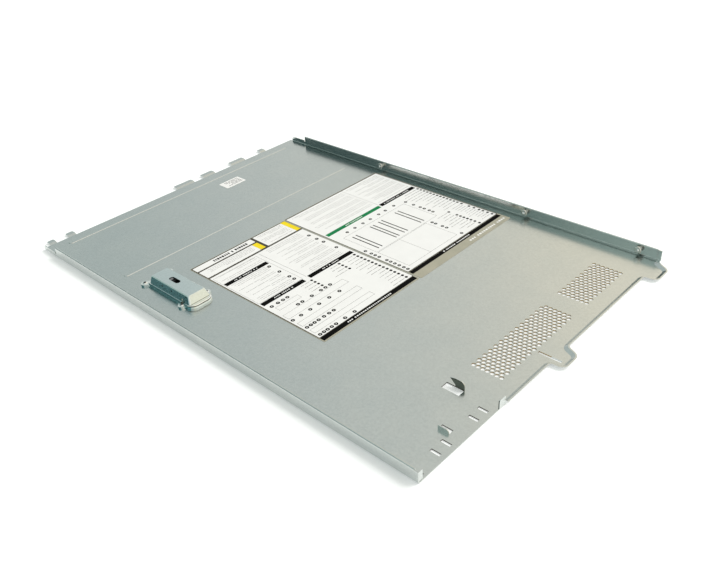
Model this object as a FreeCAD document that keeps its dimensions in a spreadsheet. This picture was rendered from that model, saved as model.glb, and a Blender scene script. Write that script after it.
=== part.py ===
import FreeCAD, Part
import math
import os
import Sketcher

# Top cover of a rack server, lying inside face up: +X from the tab end to the tongue end,
# +Y from the latch side to the far side, +Z up, origin under the middle of its outline.

# Driving sizes in millimetres and degrees
SIZES = {
    "plate_length": 611.2,
    "cover_width": 430.0,
    "sheet": 1.0,
    "bend_inside": 0.8,
    "flange_height": 14.0,
    "flange_setback": 3.0,
    "corner_cut": 2.0,
    "low_height": 7.0,
    "low_lead": 2.5,
    "relief_height": 5.0,
    "relief_width": 3.0,
    "hem_start": 34.1,
    "hem_setback": 4.6,
    "hem_gap": 0.3,
    "hem_drop": 1.2,
    "leaf_bottom": 4.2,
    "return_width": 5.5,
    "return_lift": 2.6,
    "relief_hole": 0.9,
    "relief_inset": 3.4,
    "relief_side": 10.0,
    "tab_reach": 10.0,
    "tab_ramp": 3.4,
    "tab_step": 1.5,
    "tab_round": 2.0,
    "tab_one_y": -200.9,
    "tab_one_width": 9.2,
    "tab_two_y": -174.2,
    "tab_two_width": 10.7,
    "tab_three_y": 7.6,
    "tab_three_width": 30.6,
    "tab_four_y": 50.1,
    "tab_four_width": 21.5,
    "tab_five_y": 105.4,
    "tab_five_width": 26.3,
    "tab_six_y": 154.7,
    "tab_six_width": 10.6,
    "bead_first": 14.6,
    "bead_second": 142.6,
    "bead_width": 8.0,
    "bead_height": 0.6,
    "bead_slope": 40.0,
    "bead_span": 376.0,
    "tongue_reach": 17.4,
    "tongue_near_tip": 3.0,
    "tongue_far_tip": 5.0,
    "tongue_near_root": 8.0,
    "tongue_far_root": 10.0,
    "tongue_one_y": -22.2,
    "tongue_one_tip": 17.6,
    "tongue_one_slant": 7.2,
    "tongue_two_y": 168.5,
    "tongue_two_tip": 19.4,
    "tongue_two_slant": 9.6,
    "tongue_slot_length": 25.4,
    "tongue_slot_width": 2.8,
    "tongue_slot_inset": 17.0,
    "tongue_slot_rise": 10.6,
    "lip_height": 3.4,
    "lip_slope": 57.0,
    "lip_overhang": 2.2,
    "lip_near_y": -92.0,
    "lip_far_y": 209.0,
    "lip_ledge": 6.0,
    "stop_tab_y": -97.6,
    "stop_tab_width": 9.8,
    "stop_tab_height": 10.4,
    "stop_tab_round": 2.0,
    "slot_inset": 5.4,
    "slot_length": 10.4,
    "slot_width": 3.3,
    "slot_one_y": -112.3,
    "slot_two_y": -126.3,
    "slot_three_y": -165.2,
    "slot_four_y": -179.6,
    "fin_inset": 38.0,
    "fin_length": 20.0,
    "fin_y": -102.0,
    "fin_hole_width": 9.0,
    "fin_height": 9.9,
    "fin_round": 5.0,
    "fin_neck": 10.6,
    "fin_tip": 16.6,
    "fin_tip_drop": 1.5,
    "fin_undercut": 2.6,
    "catch_inset": 14.8,
    "catch_length": 11.8,
    "catch_y": -155.2,
    "catch_hole_width": 5.7,
    "catch_height": 5.3,
    "catch_round": 3.0,
    "vent_inset": 54.0,
    "vent_pitch": 5.31,
    "vent_flats": 4.4,
    "vent_columns": 7,
    "vent_one_y": -66.0,
    "vent_one_rows": 28,
    "vent_two_y": 89.4,
    "vent_two_rows": 17,
    "stud_first": 194.6,
    "stud_second": 435.1,
    "stud_third": 585.6,
    "stud_level": 8.3,
    "stud_shoulder": 2.6,
    "stud_shoulder_length": 3.4,
    "stud_head": 4.1,
    "stud_head_length": 1.7,
    "stud_head_edge": 0.6,
    "rivet_fit": 0.05,
    "latch_from_front": 215.5,
    "latch_y": -166.0,
    "ear_spread_x": 71.8,
    "ear_spread_y": 33.6,
    "ear_radius": 4.8,
    "ear_neck": 6.0,
    "ear_height": 2.4,
    "foot_front": 32.0,
    "foot_rear": 52.0,
    "foot_width": 32.0,
    "foot_height": 4.3,
    "foot_edge": 0.5,
    "brim_height": 1.3,
    "brim_reach": 1.0,
    "foot_round_front": 3.0,
    "foot_round_rear": 10.0,
    "box_front": 29.5,
    "box_rear": 47.0,
    "box_width": 29.0,
    "box_height": 13.0,
    "box_front_draft": 1.2,
    "box_rear_draft": 4.2,
    "box_side_draft": 3.0,
    "box_round": 2.5,
    "box_edge": 0.8,
    "box_wall": 1.3,
    "post_slot_x": 2.2,
    "post_slot_travel": 10.6,
    "post_slot_radius": 3.3,
    "dimple_front": -5.1,
    "dimple_rear": 12.6,
    "dimple_level": 9.0,
    "dimple_radius": 0.9,
    "pivot_x": 33.4,
    "pivot_level": 6.4,
    "pivot_radius": 1.5,
    "pivot_length": 28.2,
    "pivot_fit": 0.05,
    "pivot_running_fit": 0.08,
    "mouth_front": 28.5,
    "mouth_rear": 44.5,
    "mouth_width": 25.0,
    "mouth_round": 2.5,
    "lever_reach": 47.3,
    "lever_width": 21.0,
    "lever_heel": 6.3,
    "lever_lift": 0.5,
    "lever_plate": 1.8,
    "lever_cheek": 2.0,
    "lever_hub": 3.8,
    "lever_cheek_tip": 3.6,
    "cam_front": 39.0,
    "cam_rear": 23.0,
    "cam_prong": 4.5,
    "cam_width": 8.0,
    "cam_top": 3.4,
    "cam_seat": -1.5,
    "rivet_radius": 1.6,
    "rivet_head": 2.9,
    "rivet_head_height": 1.2,
    "rivet_head_room": 0.5,
    "rivet_bore": 0.8,
    "rivet_bore_depth": 3.0,
    "label_sheet": 0.2,
    "label_round": 1.5,
    "label_far_x": 307.6,
    "label_far_y": 110.6,
    "label_far_length": 229.0,
    "label_far_width": 177.6,
    "label_near_x": 307.4,
    "label_near_y": -54.9,
    "label_near_length": 226.0,
    "label_near_width": 151.0,
    "label_small_x": 47.0,
    "label_small_y": 55.0,
    "label_small_length": 20.0,
    "label_small_width": 34.0,
}

doc = FreeCAD.newDocument("top_cover")
sheet = doc.addObject("Spreadsheet::Sheet", "Sizes")
for row, (alias, value) in enumerate(SIZES.items(), start=1):
    sheet.set("A%d" % row, alias)
    sheet.set("B%d" % row, str(value))
    sheet.setAlias("B%d" % row, alias)
doc.recompute()

# Places that several pieces share
OVERALL = "(Sizes.plate_length + Sizes.tab_reach + Sizes.tongue_reach)"
FRONT = "(Sizes.tab_reach - %s / 2)" % OVERALL
REAR = "(%s + Sizes.plate_length)" % FRONT
TIP = "(%s + Sizes.tongue_reach)" % REAR
HALF = "(Sizes.cover_width / 2)"
HEM_START = "(%s + Sizes.hem_start)" % FRONT
HEM_END = "(%s - Sizes.hem_setback)" % REAR
HEM_THICK = "(2 * Sizes.sheet + Sizes.hem_gap)"
LATCH_X = "(%s + Sizes.latch_from_front)" % FRONT
BEND_OUTSIDE = "(Sizes.bend_inside + Sizes.sheet)"


def number(expression):
    """Value of an expression on the sheet"""
    return float(sheet.evalExpression(expression))


def new_body(name):
    body = doc.addObject("PartDesign::Body", name)
    body.Label = name
    return body


def plane(body, role):
    return next(item for item in body.Origin.OriginFeatures if item.Role == role)


def new_sketch(body, name, role, offset="0"):
    """Sketch on one of the body's planes, moved along the plane's normal"""
    sketch = body.newObject("Sketcher::SketchObject", name)
    sketch.AttachmentSupport = [(plane(body, role), "")]
    sketch.MapMode = "FlatFace"
    sketch.setExpression(".AttachmentOffset.Base.z", offset)
    return sketch


def place(sketch, geometry, point, x, y):
    """Pin one point of the sketch to a place given by two expressions"""
    for kind, axis, text in (("DistanceX", -2, x), ("DistanceY", -1, y)):
        value = number(text)
        if abs(value) < 1e-9:
            sketch.addConstraint(Sketcher.Constraint("PointOnObject", geometry, point, axis))
        else:
            index = sketch.addConstraint(Sketcher.Constraint(kind, -1, 1, geometry, point, value))
            sketch.setExpression("Constraints[%d]" % index, text)


def polygon(sketch, corners):
    """Closed outline through corners given as pairs of expressions"""
    first = sketch.GeometryCount
    count = len(corners)
    points = [FreeCAD.Vector(number(x), number(y), 0) for x, y in corners]
    for i in range(count):
        sketch.addGeometry(Part.LineSegment(points[i], points[(i + 1) % count]), False)
    for i in range(count):
        sketch.addConstraint(Sketcher.Constraint("Coincident", first + i, 2, first + (i + 1) % count, 1))
    for i, (x, y) in enumerate(corners):
        place(sketch, first + i, 1, x, y)


def rectangle(sketch, x_low, x_high, y_low, y_high):
    polygon(sketch, [(x_low, y_low), (x_high, y_low), (x_high, y_high), (x_low, y_high)])


def circle(sketch, x, y, radius):
    middle = FreeCAD.Vector(number(x), number(y), 0)
    index = sketch.addGeometry(Part.Circle(middle, FreeCAD.Vector(0, 0, 1), number(radius)), False)
    place(sketch, index, 3, x, y)
    held = sketch.addConstraint(Sketcher.Constraint("Radius", index, number(radius)))
    sketch.setExpression("Constraints[%d]" % held, radius)


def slot(sketch, ends, radius):
    """Round-ended slot between two centres given as pairs of expressions"""
    a = FreeCAD.Vector(number(ends[0][0]), number(ends[0][1]), 0)
    b = FreeCAD.Vector(number(ends[1][0]), number(ends[1][1]), 0)
    r = number(radius)
    along = (b - a).normalize()
    side = FreeCAD.Vector(-along.y, along.x, 0) * r
    arc_a = Part.Arc(a + side, a - along * r, a - side)
    arc_b = Part.Arc(b - side, b + along * r, b + side)
    first = sketch.GeometryCount
    sketch.addGeometry(arc_a, False)
    sketch.addGeometry(Part.LineSegment(a - side, b - side), False)
    sketch.addGeometry(arc_b, False)
    sketch.addGeometry(Part.LineSegment(b + side, a + side), False)
    for i in range(4):
        sketch.addConstraint(Sketcher.Constraint("Tangent", first + i, 2, first + (i + 1) % 4, 1))
    sketch.addConstraint(Sketcher.Constraint("Equal", first, first + 2))
    place(sketch, first, 3, *ends[0])
    place(sketch, first + 2, 3, *ends[1])
    held = sketch.addConstraint(Sketcher.Constraint("Radius", first, r))
    sketch.setExpression("Constraints[%d]" % held, radius)


def rounded_outline(sketch, corners, radii):
    """Closed outline on a pinned construction polygon; a corner with a radius gets a tangent arc"""
    count = len(corners)
    points = [FreeCAD.Vector(number(x), number(y), 0) for x, y in corners]
    guide = sketch.GeometryCount
    polygon(sketch, corners)
    for i in range(count):
        sketch.setConstruction(guide + i, True)
    ways = [(points[(i + 1) % count] - points[i]).normalize() for i in range(count)]
    cuts = []
    for i, radius in enumerate(radii):
        turn = ways[i - 1].getAngle(ways[i])
        cuts.append(number(radius) * math.tan(turn / 2) if radius else 0)
    first = sketch.GeometryCount
    for i in range(count):
        after = (i + 1) % count
        start = points[i] + ways[i] * cuts[i]
        end = points[after] - ways[i] * cuts[after]
        sketch.addGeometry(Part.LineSegment(start, end), False)
        sketch.addConstraint(Sketcher.Constraint("PointOnObject", first + i, 1, guide + i))
        sketch.addConstraint(Sketcher.Constraint("PointOnObject", first + i, 2, guide + i))
    for i, radius in enumerate(radii):
        line_in = first + (i - 1) % count
        line_out = first + i
        if not radius:
            sketch.addConstraint(Sketcher.Constraint("Coincident", line_in, 2, line_out, 1))
            continue
        start = points[i] - ways[i - 1] * cuts[i]
        end = points[i] + ways[i] * cuts[i]
        inward = (ways[i] - ways[i - 1]).normalize()
        reach = math.hypot(number(radius), cuts[i])
        middle = points[i] + inward * (reach - number(radius))
        arc = sketch.addGeometry(Part.Arc(start, middle, end), False)
        left_turn = ways[i - 1].cross(ways[i]).z > 0
        arc_start, arc_end = (1, 2) if left_turn else (2, 1)
        sketch.addConstraint(Sketcher.Constraint("Tangent", line_in, 2, arc, arc_start))
        sketch.addConstraint(Sketcher.Constraint("Tangent", arc, arc_end, line_out, 1))
        held = sketch.addConstraint(Sketcher.Constraint("Radius", arc, number(radius)))
        sketch.setExpression("Constraints[%d]" % held, radius)


def settle(feature):
    """Recompute, and stop where the feature did not come out"""
    doc.recompute()
    if "Invalid" in feature.State or feature.Shape.isNull():
        raise RuntimeError("%s did not come out: %s" % (feature.Name, feature.getStatusString()))
    return feature


def pad(body, name, sketch, length, reverse=False, taper="0"):
    feature = body.newObject("PartDesign::Pad", name)
    feature.Profile = sketch
    feature.setExpression("Length", length)
    feature.setExpression("TaperAngle", taper)
    feature.Reversed = reverse
    return settle(feature)


def pocket(body, name, sketch, length=None, reverse=False, taper="0"):
    """Cut to a depth, or through all where no depth is given; it has to take something away"""
    before = body.Shape.Volume
    feature = body.newObject("PartDesign::Pocket", name)
    feature.Profile = sketch
    feature.setExpression("TaperAngle", taper)
    feature.Reversed = reverse
    if length is None:
        feature.Type = "ThroughAll"
    else:
        feature.setExpression("Length", length)
    settle(feature)
    if not feature.Shape.Volume < before - 1e-6:
        raise RuntimeError("nothing was cut by " + name)
    return feature


def mirror(body, name, originals, role):
    feature = body.newObject("PartDesign::Mirrored", name)
    feature.Originals = originals
    feature.MirrorPlane = (plane(body, role), [""])
    body.Tip = feature
    return settle(feature)


def edges_at(shape, points, direction, reach=0.02):
    """Names of the straight edges along a direction that pass through the given points"""
    names = []
    for index, edge in enumerate(shape.Edges, start=1):
        if edge.Curve.TypeId != "Part::GeomLine":
            continue
        start = edge.Vertexes[0].Point
        end = edge.Vertexes[-1].Point
        if (end - start).normalize().cross(direction).Length > 1e-4:
            continue
        for point in points:
            away = point - start
            if (away - direction * away.dot(direction)).Length < reach:
                names.append("Edge%d" % index)
                break
    return names


def rounding(body, name, points, direction, radius, expected):
    """Round the edges along a direction through the given points"""
    base = body.Tip
    names = edges_at(base.Shape, points, direction)
    if len(names) != expected:
        raise RuntimeError("%s found %d edges, not %d" % (name, len(names), expected))
    feature = body.newObject("PartDesign::Fillet", name)
    feature.Base = (base, names)
    feature.setExpression("Radius", radius)
    body.Tip = feature
    return settle(feature)


def spot(x, y, z):
    return FreeCAD.Vector(number(x), number(y), number(z))


ALONG_X = FreeCAD.Vector(1, 0, 0)
ALONG_Y = FreeCAD.Vector(0, 1, 0)
ALONG_Z = FreeCAD.Vector(0, 0, 1)

# Cover panel: one folded sheet
panel = new_body("cover_panel")

blank = new_sketch(panel, "blank", "XY_Plane")
CUT_X = "(%s + Sizes.flange_setback)" % FRONT
CUT_Y = "(%s - Sizes.corner_cut)" % HALF
polygon(blank, [
    (FRONT, "-" + CUT_Y), (CUT_X, "-" + CUT_Y), (CUT_X, "-" + HALF), (REAR, "-" + HALF),
    (REAR, HALF), (CUT_X, HALF), (CUT_X, CUT_Y), (FRONT, CUT_Y)])
pad(panel, "floor", blank, "Sizes.sheet")

# Side flange: stepped wall with a hem folded back inside it
wall_sketch = new_sketch(panel, "flange_elevation", "XZ_Plane", HALF)
RELIEF_X = "(%s - Sizes.relief_width)" % HEM_START
HEM_LOW = "(Sizes.flange_height - Sizes.hem_drop)"
polygon(wall_sketch, [
    (CUT_X, "0"), (REAR, "0"), (REAR, HEM_LOW), (HEM_END, HEM_LOW), (HEM_END, "Sizes.flange_height"),
    (HEM_START, "Sizes.flange_height"), (HEM_START, "Sizes.relief_height"),
    (RELIEF_X, "Sizes.relief_height"), (RELIEF_X, "Sizes.low_height"),
    (CUT_X + " + Sizes.low_lead", "Sizes.low_height"),
    (CUT_X, "Sizes.low_height - Sizes.low_lead")])
wall = pad(panel, "flange_wall", wall_sketch, "Sizes.sheet", reverse=True)

leaf_sketch = new_sketch(panel, "hem_section", "YZ_Plane", HEM_START)
LEAF_OUT = "(Sizes.sheet + Sizes.hem_gap - %s)" % HALF
LEAF_IN = "(%s - %s)" % (HEM_THICK, HALF)
WALL_IN = "(Sizes.sheet - %s)" % HALF
HEM_UNDER = "(Sizes.flange_height - Sizes.sheet)"
polygon(leaf_sketch, [
    (WALL_IN, "Sizes.flange_height"), (LEAF_IN, "Sizes.flange_height"), (LEAF_IN, "Sizes.leaf_bottom"),
    (LEAF_OUT, "Sizes.leaf_bottom"), (LEAF_OUT, HEM_UNDER), (WALL_IN, HEM_UNDER)])
leaf = pad(panel, "hem_leaf", leaf_sketch, "%s - %s" % (HEM_END, HEM_START))
mirror(panel, "far_flange", [wall, leaf], "XZ_Plane")

sides = [("-", WALL_IN, LEAF_IN), ("", "-" + WALL_IN, "-" + LEAF_IN)]
rounding(panel, "bend_outside", [spot("0", sign + HALF, "0") for sign, _, _ in sides],
         ALONG_X, BEND_OUTSIDE, 2)
rounding(panel, "bend_inside", [spot("0", inner, "Sizes.sheet") for _, inner, _ in sides],
         ALONG_X, "Sizes.bend_inside", 2)
hem_edges = [spot("0", sign + HALF, "Sizes.flange_height") for sign, _, _ in sides]
hem_edges += [spot("0", leaf_face, "Sizes.flange_height") for _, _, leaf_face in sides]
rounding(panel, "hem_fold", hem_edges, ALONG_X, HEM_THICK + " / 2 - 0.05", 4)

# Rear edge: two slanted tongues inside one lip that flares up all round them
FLARE = "(Sizes.lip_height * tan(Sizes.lip_slope))"
FLOOR_REAR = "(%s + Sizes.lip_overhang - %s)" % (REAR, FLARE)
FLOOR_TIP = "(%s - %s)" % (TIP, FLARE)
LEDGE = "(%s - Sizes.lip_ledge)" % FLOOR_REAR
CLEAR = "(2.5 * Sizes.sheet)"
LIP_START = "(Sizes.lip_near_y + %s)" % FLARE
rear_corners = []
rear_radii = []
for tongue in ("one", "two"):
    near = "(Sizes.tongue_%s_y + %s)" % (tongue, FLARE)
    far_tip = "(%s + Sizes.tongue_%s_tip)" % (near, tongue)
    far_root = "(%s + Sizes.tongue_%s_slant)" % (far_tip, tongue)
    rear_corners += [(FLOOR_REAR, near), (FLOOR_TIP, near), (FLOOR_TIP, far_tip), (FLOOR_REAR, far_root)]
    rear_radii += ["Sizes.tongue_" + corner for corner in ("near_root", "near_tip", "far_tip", "far_root")]
LIP_END = rear_corners[-1][1]
rear_radii[-1] = None

lip_room = new_sketch(panel, "lip_room_plan", "XY_Plane", "Sizes.sheet")
rectangle(lip_room, FLOOR_REAR, REAR + " + Sizes.sheet", "Sizes.lip_near_y", "Sizes.lip_far_y")
pocket(panel, "lip_room", lip_room)
lip_sketch = new_sketch(panel, "lip_plan", "XY_Plane")
rounded_outline(
    lip_sketch,
    [(LEDGE, LIP_START), (FLOOR_REAR, LIP_START)] + rear_corners + [(LEDGE, LIP_END)],
    [None, None] + rear_radii + [None])
pad(panel, "rear_lip", lip_sketch, "Sizes.lip_height", taper="Sizes.lip_slope")
hollow_sketch = new_sketch(panel, "lip_hollow_plan", "XY_Plane", "Sizes.sheet")
inner_start = "%s - %s" % (LIP_START, CLEAR)
inner_end = "%s + %s" % (LIP_END, CLEAR)
inner_ledge = "%s - %s" % (LEDGE, CLEAR)
rounded_outline(
    hollow_sketch,
    [(inner_ledge, inner_start), (FLOOR_REAR, inner_start)] + rear_corners
    + [(FLOOR_REAR, inner_end), (inner_ledge, inner_end)],
    [None, None] + rear_radii + [None, None])
pocket(panel, "lip_hollow", hollow_sketch, "Sizes.lip_height", reverse=True, taper="Sizes.lip_slope")

# Stop tab that stands at the near end of the lip, and the return at the near corner
stand_sketch = new_sketch(panel, "stop_tab_elevation", "YZ_Plane", REAR + " - Sizes.sheet")
STOP_LOW = "(Sizes.stop_tab_y - Sizes.stop_tab_width / 2)"
STOP_HIGH = "(Sizes.stop_tab_y + Sizes.stop_tab_width / 2)"
rectangle(stand_sketch, STOP_LOW, STOP_HIGH, "0", "Sizes.stop_tab_height")
pad(panel, "stop_tab", stand_sketch, "Sizes.sheet")
rounding(panel, "stop_tab_corners", [spot(REAR, y, "Sizes.stop_tab_height") for y in (STOP_LOW, STOP_HIGH)],
         ALONG_X, "Sizes.stop_tab_round", 2)
return_sketch = new_sketch(panel, "return_elevation", "YZ_Plane", REAR + " - Sizes.sheet")
rectangle(return_sketch, "-" + HALF, "Sizes.return_width - " + HALF, "Sizes.return_lift", HEM_LOW)
pad(panel, "corner_return", return_sketch, "Sizes.sheet")

# Front edge: a joggled strip, cut away between the six tabs
TABS = ["one", "two", "three", "four", "five", "six"]
tab_low = ["(Sizes.tab_%s_y - Sizes.tab_%s_width / 2)" % (tab, tab) for tab in TABS]
tab_high = ["(Sizes.tab_%s_y + Sizes.tab_%s_width / 2)" % (tab, tab) for tab in TABS]
TAB_TIP = "(%s - Sizes.tab_reach)" % FRONT
RAMP = "(%s - Sizes.tab_ramp)" % FRONT
TAB_TOP = "(Sizes.tab_step + Sizes.sheet)"
joggle_sketch = new_sketch(panel, "joggle_section", "XZ_Plane", "-" + tab_high[-1])
polygon(joggle_sketch, [
    (FRONT, "0"), (FRONT, "Sizes.sheet"), (RAMP, TAB_TOP), (TAB_TIP, TAB_TOP),
    (TAB_TIP, "Sizes.tab_step"), (RAMP, "Sizes.tab_step")])
pad(panel, "joggled_strip", joggle_sketch, "%s - %s" % (tab_high[-1], tab_low[0]))
gap_sketch = new_sketch(panel, "tab_gaps", "XY_Plane", "Sizes.tab_step + 2 * Sizes.sheet")
for low, high in zip(tab_high[:-1], tab_low[1:]):
    rectangle(gap_sketch, TAB_TIP + " - Sizes.sheet", FRONT, low, high)
pocket(panel, "between_tabs", gap_sketch)
rounding(panel, "tab_corners", [spot(TAB_TIP, y, "0") for y in tab_low + tab_high], ALONG_Z,
         "Sizes.tab_round", 12)

# Two shallow stiffening beads, raised inside and hollow outside
BEAD_END = "((Sizes.bead_span - Sizes.bead_width) / 2)"
bead_top = new_sketch(panel, "bead_plan", "XY_Plane", "Sizes.sheet")
bead_under = new_sketch(panel, "bead_hollow_plan", "XY_Plane")
for bead in ("Sizes.bead_first", "Sizes.bead_second"):
    middle = "(%s + %s)" % (FRONT, bead)
    ends = [(middle, "-" + BEAD_END), (middle, BEAD_END)]
    slot(bead_top, ends, "Sizes.bead_width / 2")
    slot(bead_under, ends, "Sizes.bead_width / 2 - Sizes.bead_height")
pad(panel, "beads", bead_top, "Sizes.bead_height", taper="-Sizes.bead_slope")
pocket(panel, "bead_hollows", bead_under, "Sizes.bead_height", reverse=True, taper="-Sizes.bead_slope")

# Slots by the rear edge, and the slot along the first tongue
SLOT_HIGH = "(%s - Sizes.slot_inset)" % REAR
slots = new_sketch(panel, "slot_plan", "XY_Plane", "Sizes.sheet")
for name in ("one", "two", "three", "four"):
    middle = "Sizes.slot_%s_y" % name
    rectangle(slots, SLOT_HIGH + " - Sizes.slot_length", SLOT_HIGH,
              middle + " - Sizes.slot_width / 2", middle + " + Sizes.slot_width / 2")
TONGUE_SLOT_X = "(%s - Sizes.tongue_slot_inset)" % REAR
TONGUE_SLOT_Y = "(Sizes.tongue_one_y + Sizes.tongue_slot_rise)"
rectangle(slots, TONGUE_SLOT_X, TONGUE_SLOT_X + " + Sizes.tongue_slot_length",
          TONGUE_SLOT_Y + " - Sizes.tongue_slot_width / 2",
          TONGUE_SLOT_Y + " + Sizes.tongue_slot_width / 2")
circle(slots, REAR + " - Sizes.relief_inset", "Sizes.relief_side - " + HALF, "Sizes.relief_hole")
pocket(panel, "slots", slots)

# Mouth under the latch lever, and the rivet holes round it
EARS = [(sx, sy) for sx in ("-", "") for sy in ("-", "")]
mouth = new_sketch(panel, "mouth_plan", "XY_Plane", "Sizes.sheet")
rectangle(mouth, LATCH_X + " - Sizes.mouth_front", LATCH_X + " + Sizes.mouth_rear",
          "Sizes.latch_y - Sizes.mouth_width / 2", "Sizes.latch_y + Sizes.mouth_width / 2")
for sx, sy in EARS:
    circle(mouth, "%s + %sSizes.ear_spread_x / 2" % (LATCH_X, sx),
           "Sizes.latch_y + %sSizes.ear_spread_y / 2" % sy, "Sizes.rivet_radius + Sizes.rivet_fit")
pocket(panel, "latch_mouth", mouth)
mouth_corners = [
    spot(x, "Sizes.latch_y %s Sizes.mouth_width / 2" % sign, "0")
    for x in (LATCH_X + " - Sizes.mouth_front", LATCH_X + " + Sizes.mouth_rear") for sign in "-+"]
rounding(panel, "mouth_corners", mouth_corners, ALONG_Z, "Sizes.mouth_round", 4)


def lanced_leaf(name, side, corners):
    """Leaf cut on three sides and bent up from the edge of its own hole; side is the way to the hole"""
    low = "(%s - Sizes.%s_inset - Sizes.%s_length)" % (REAR, name, name)
    high = "(%s - Sizes.%s_inset)" % (REAR, name)
    root = "Sizes.%s_y" % name
    hole = new_sketch(panel, name + "_hole_plan", "XY_Plane", "Sizes.sheet")
    across = "%s %s Sizes.%s_hole_width" % (root, side, name)
    rectangle(hole, low, high, *sorted((root, across), key=number))
    pocket(panel, name + "_hole", hole)
    upright = new_sketch(panel, name + "_elevation", "XZ_Plane", "-" + root)
    top = "Sizes.%s_height" % name
    slanted = [("%s - %s" % (high, back), level) for back, level in corners]
    polygon(upright, [(high, "0"), (high, top)] + slanted)
    pad(panel, name, upright, "Sizes.sheet", reverse=(side == "-"))
    rounding(panel, name + "_corner", [spot(high, root, top)], ALONG_Y, "Sizes.%s_round" % name, 1)


lanced_leaf("fin", "-", [
    ("Sizes.fin_neck", "Sizes.fin_height"), ("Sizes.fin_tip", "Sizes.fin_height - Sizes.fin_tip_drop"),
    ("Sizes.fin_neck", "Sizes.fin_undercut"), ("Sizes.fin_neck", "0")])
lanced_leaf("catch", "+", [("Sizes.catch_length", "Sizes.catch_height"), ("Sizes.catch_length", "0")])

# Honeycomb vents: two fields of staggered hexagons in one cut
HEX_RADIUS = number("Sizes.vent_flats / sqrt(3)")
HEX_STEP = number("Sizes.vent_pitch")
HEX_CORNERS = [
    FreeCAD.Vector(HEX_RADIUS * math.sin(math.pi * k / 3), HEX_RADIUS * math.cos(math.pi * k / 3), 0)
    for k in range(6)]


def vent_centres(field):
    """Middle of every hole of a field, row by row"""
    start_x = number("%s - Sizes.vent_inset" % REAR)
    start_y = number("Sizes.vent_%s_y" % field)
    columns = int(number("Sizes.vent_columns"))
    for row in range(int(number("Sizes.vent_%s_rows" % field))):
        shift = row % 2
        for column in range(columns - shift):
            yield FreeCAD.Vector(start_x + (column + shift / 2) * HEX_STEP,
                                 start_y + row * HEX_STEP * math.sqrt(3) / 2, 0)


vent_sides = []
for field in ("one", "two"):
    for centre in vent_centres(field):
        corners = [centre + corner for corner in HEX_CORNERS]
        vent_sides += [Part.LineSegment(corners[k - 1], corners[k]) for k in range(6)]
vents = new_sketch(panel, "vent_plan", "XY_Plane", "Sizes.sheet")
vents.addGeometry(vent_sides, False)
pocket(panel, "vents", vents)

# Latch housing: a hollow box on a stepped foot with four riveted ears
housing = new_body("latch_housing")
foot = new_sketch(housing, "foot_plan", "XY_Plane")
FOOT_X = ("-Sizes.foot_front", "Sizes.foot_rear")
FOOT_Y = ("-Sizes.foot_width / 2", "Sizes.foot_width / 2")
rectangle(foot, *FOOT_X, *FOOT_Y)
pad(housing, "foot", foot, "Sizes.foot_height")
for end, radius in zip(FOOT_X, ("Sizes.foot_round_front", "Sizes.foot_round_rear")):
    rounding(housing, "foot_round", [spot(end, y, "0") for y in FOOT_Y], ALONG_Z, radius, 2)

BOX_HALF = "(Sizes.box_width / 2)"
box_side = new_sketch(housing, "box_elevation", "XZ_Plane", "-" + BOX_HALF)
polygon(box_side, [
    ("-Sizes.box_front", "Sizes.foot_height"), ("Sizes.box_rear", "Sizes.foot_height"),
    ("Sizes.box_rear - Sizes.box_rear_draft", "Sizes.box_height"),
    ("Sizes.box_front_draft - Sizes.box_front", "Sizes.box_height")])
pad(housing, "box", box_side, "Sizes.box_width")
draft = new_sketch(housing, "box_draft", "YZ_Plane", "-Sizes.box_front")
for sign in ("", "-"):
    polygon(draft, [
        (sign + BOX_HALF, "Sizes.foot_height"), (sign + BOX_HALF, "Sizes.box_height"),
        ("%s(%s - Sizes.box_side_draft)" % (sign, BOX_HALF), "Sizes.box_height")])
pocket(housing, "box_sides", draft, reverse=True)


def dress_edges(body, name, kind, wanted, size):
    """Fillet or chamfer every edge whose end points all pass a test together"""
    base = body.Tip
    names = []
    for index, edge in enumerate(base.Shape.Edges, start=1):
        if wanted([vertex.Point for vertex in edge.Vertexes]):
            names.append("Edge%d" % index)
    feature = body.newObject("PartDesign::" + kind, name)
    feature.Base = (base, names)
    feature.setExpression({"Fillet": "Radius", "Chamfer": "Size"}[kind], size)
    body.Tip = feature
    return settle(feature)


NEAR_LEVEL = 0.01
FOOT_TOP = number("Sizes.foot_height")
BOX_TOP = number("Sizes.box_height")
LEDGE_Y = number("(Sizes.box_width + Sizes.foot_width) / 4")
LEDGE_FRONT = -number("(Sizes.box_front + Sizes.foot_front) / 2")
LEDGE_REAR = number("(Sizes.box_rear + Sizes.foot_rear) / 2")


def box_upright(ends):
    levels = [end.z for end in ends]
    return min(levels) > FOOT_TOP - NEAR_LEVEL and max(levels) - min(levels) > 1


def box_top(ends):
    return all(end.z > BOX_TOP - NEAR_LEVEL for end in ends)


def foot_rim(ends):
    outside = all(abs(end.y) > LEDGE_Y or end.x < LEDGE_FRONT or end.x > LEDGE_REAR for end in ends)
    return outside and all(abs(end.z - FOOT_TOP) < NEAR_LEVEL for end in ends)


dress_edges(housing, "box_corners", "Fillet", box_upright, "Sizes.box_round")
dress_edges(housing, "box_rim", "Chamfer", box_top, "Sizes.box_edge")
dress_edges(housing, "foot_rim", "Chamfer", foot_rim, "Sizes.foot_edge")

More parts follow.
